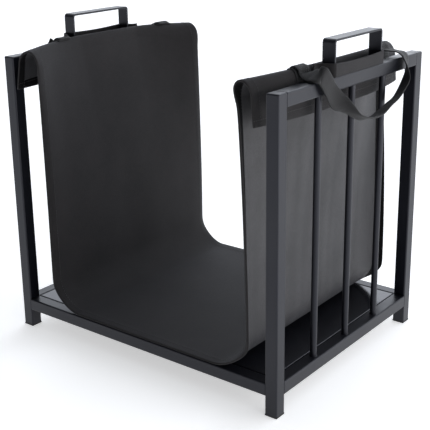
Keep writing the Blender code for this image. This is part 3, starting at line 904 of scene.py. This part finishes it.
def weld_rings(bead_radius):
    """Closed lines where the frame's pieces meet; the welds are ground level with the tube."""
    half = TUBE / 2
    flush = half - bead_radius + 0.00006
    low, high = BASE_TOP - half, FRAME_HEIGHT - half
    leg = (HANDLE_LENGTH - HANDLE_STRIP[1]) / 2
    turns = [2 * math.pi * i / 16 for i in range(16)]
    rings = []
    for sx in SIDES.values():
        x = sx * (HALF_W - half)
        for sy in (-1, 1):
            y = sy * (HALF_D - half)
            rings.append(square_ring(
                0, sx * (HALF_W - TUBE), (y, low), flush, flush, TUBE_CORNER))
            for z in (low, high):
                rings.append(square_ring(
                    1, sy * (HALF_D - TUBE), (x, z), flush, flush, TUBE_CORNER))
        for y in BAR_DEPTHS:
            for z in (BASE_TOP, RAIL_UNDER):
                rings.append([(x + BAR_RADIUS * math.cos(a), y + BAR_RADIUS * math.sin(a), z)
                              for a in turns])
        for y in (-leg, leg):
            rings.append(square_ring(2, FRAME_HEIGHT, (x, y), HANDLE_STRIP[0] / 2 - 0.0008,
                                     HANDLE_STRIP[1] / 2, 0.0004))
    return rings


# ---- operators -----------------------------------------------------------------------------
class RackStage(bpy.types.Operator):
    """Floor, soft light and camera"""
    bl_idname = "rack.stage"
    bl_label = "Stage"

    def execute(self, context):
        context.scene.view_settings.view_transform = "Standard"
        add_floor()
        add_world(context.scene)
        add_softbox()
        add_camera(context.scene)
        return {"FINISHED"}


class RackFrame(bpy.types.Operator):
    """Coat on the frame and tray, and the weld beads at its joints"""
    bl_idname = "rack.frame"
    bl_label = "Frame"

    def execute(self, context):
        steel = context.scene.rack_steel
        colour = linear(steel.coat_colour)
        coat = powder_coated_steel("powder_coated_steel", colour, steel.peel_size, 0.37)
        sheet = powder_coated_steel("powder_coated_sheet", colour, steel.peel_size, 0.17, 1.55)
        for name in STEEL_NODES:
            paint(name, coat)
        paint("tray", sheet)
        beads = made_by_nodes("weld_beads", weld_rings(steel.bead_radius), True, bead_tree(),
                              {"Radius": steel.bead_radius, "Coat": coat})
        finish_piece(beads, coat, "frame")
        return {"FINISHED"}


class RackPlugs(bpy.types.Operator):
    """Plastic of the foot plugs"""
    bl_idname = "rack.plugs"
    bl_label = "Foot plugs"

    def execute(self, context):
        plastic = moulded_polyethylene()
        for name in PLUG_NODES:
            paint(name, plastic)
        return {"FINISHED"}


class RackSling(bpy.types.Operator):
    """The cloth sling with its hems and stitching, slot bands and strap patches"""
    bl_idname = "rack.sling"
    bl_label = "Sling"

    def execute(self, context):
        cloth = cloth_material()
        settings = context.scene.rack_cloth
        grid = sling_grid()
        uv = grid_uv(grid)
        length, width = uv[-1, -1]
        from_edge = np.minimum(uv, (length, width) - uv).min(axis=2)
        hemmed = np.clip((HEM_WIDTH + 0.001 - from_edge) / 0.0012, 0, 1)
        thickness = VISIBLE_CLOTH + 0.16 * CLOTH * hemmed
        sling = thick_sheet("log_sling", grid, thickness)
        finish_piece(sling, cloth, "sling")
        # The coated back carries upright streaks of painted shade and painted highlight: the
        # bars' shadows and the sheen between them.
        sling.data.materials.append(woven_polyester(
            "coated_back", linear(settings.back_colour), settings.thread_spacing, 0.55,
            painted_light_streaks=0.5))
        # Painted shade: the back's hem band is drawn near black and dull, darker than the cloth
        # itself, for the shade on the curled hem.
        sling.data.materials.append(woven_polyester(
            "hem_band_painted_shade", linear("#0b0a0b"), settings.thread_spacing, 0.9, ior=1.25, sheen=0.03))
        bare = (from_edge[:-1, :-1] + from_edge[1:, 1:]) / 2 > HEM_WIDTH
        for i, is_bare in enumerate(bare.ravel()):      # the back's faces are the even ones
            sling.data.polygons[2 * i].material_index = 1 if is_bare else 2
        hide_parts("sling_cloth")

        for side in SIDES:
            band = thick_sheet(f"slot_band_cloth_{side}", band_grid(side), BAND_THICKNESS * 0.95)
            finish_piece(band, cloth, "sling")
            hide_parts(f"slot_band_{side}")
            for label in ("front", "back"):
                patch = thick_sheet(f"strap_patch_cloth_{label}_{side}",
                                    patch_grid(side, label), PATCH_THICKNESS)
                finish_piece(patch, webbing_material(), "sling")
                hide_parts(f"strap_patch_{label}_{side}")

        proud = grid_normals(grid) * (thickness[:, :, None] / 2 + 0.0001)
        seams = []
        for skin in (grid + proud, grid - proud):
            for at in (HEM_SEAM, width - HEM_SEAM):
                seams.append(seam_line(np.swapaxes(skin, 0, 1), uv[:, :, 1].T, at))
            for at in (HEM_SEAM, length - HEM_SEAM):
                seams.append(seam_line(skin, uv[:, :, 0], at))
        sew("sling_stitches", seams, "sling")
        return {"FINISHED"}


class RackStraps(bpy.types.Operator):
    """The two carrying straps and the stitching at their ends"""
    bl_idname = "rack.straps"
    bl_label = "Carrying straps"

    def execute(self, context):
        webbing = webbing_material()
        for side, sx in SIDES.items():
            grid, sewn = strap_grid(side)
            strap = thick_sheet(f"strap_webbing_{side}", np.swapaxes(grid, 0, 1),
                                STRAP_THICKNESS * 0.95)
            strap.data.materials.append(webbing)
            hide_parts(f"carry_strap_{side}")
            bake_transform(strap)
            normal = grid_normals(grid)
            upward = np.sign(normal[4, 3, 2])
            face = grid + normal * upward * (STRAP_THICKNESS * 0.475 + 0.0001)
            boxes = box_stitches(face[:sewn[0] + 1]) + box_stitches(face[-sewn[1] - 1:])
            sew(f"strap_stitches_{side}", boxes, "sling")
        return {"FINISHED"}


class RackPanel(bpy.types.Panel):
    """Lists the steps that build the rack's looks"""
    bl_idname = "RACK_PT_panel"
    bl_label = "Log rack"
    bl_space_type = "VIEW_3D"
    bl_region_type = "UI"
    bl_category = "Log rack"

    def draw(self, context):
        for settings in (context.scene.rack_steel, context.scene.rack_cloth):
            for name in settings.__annotations__:
                self.layout.prop(settings, name)
        for step in STEPS:
            self.layout.operator(step.bl_idname)


STEPS = (RackStage, RackFrame, RackPlugs, RackSling, RackStraps)
CLASSES = (RackSteelSettings, RackClothSettings, *STEPS, RackPanel)


def register():
    for cls in CLASSES:
        bpy.utils.register_class(cls)
    bpy.types.Scene.rack_steel = bpy.props.PointerProperty(type=RackSteelSettings)
    bpy.types.Scene.rack_cloth = bpy.props.PointerProperty(type=RackClothSettings)


def unregister():
    del bpy.types.Scene.rack_cloth
    del bpy.types.Scene.rack_steel
    for cls in reversed(CLASSES):
        bpy.utils.unregister_class(cls)


def main():
    register()
    bpy.ops.rack.stage()
    bpy.ops.rack.frame()
    bpy.ops.rack.plugs()
    bpy.ops.rack.sling()
    bpy.ops.rack.straps()


if __name__ == "__main__":
    main()
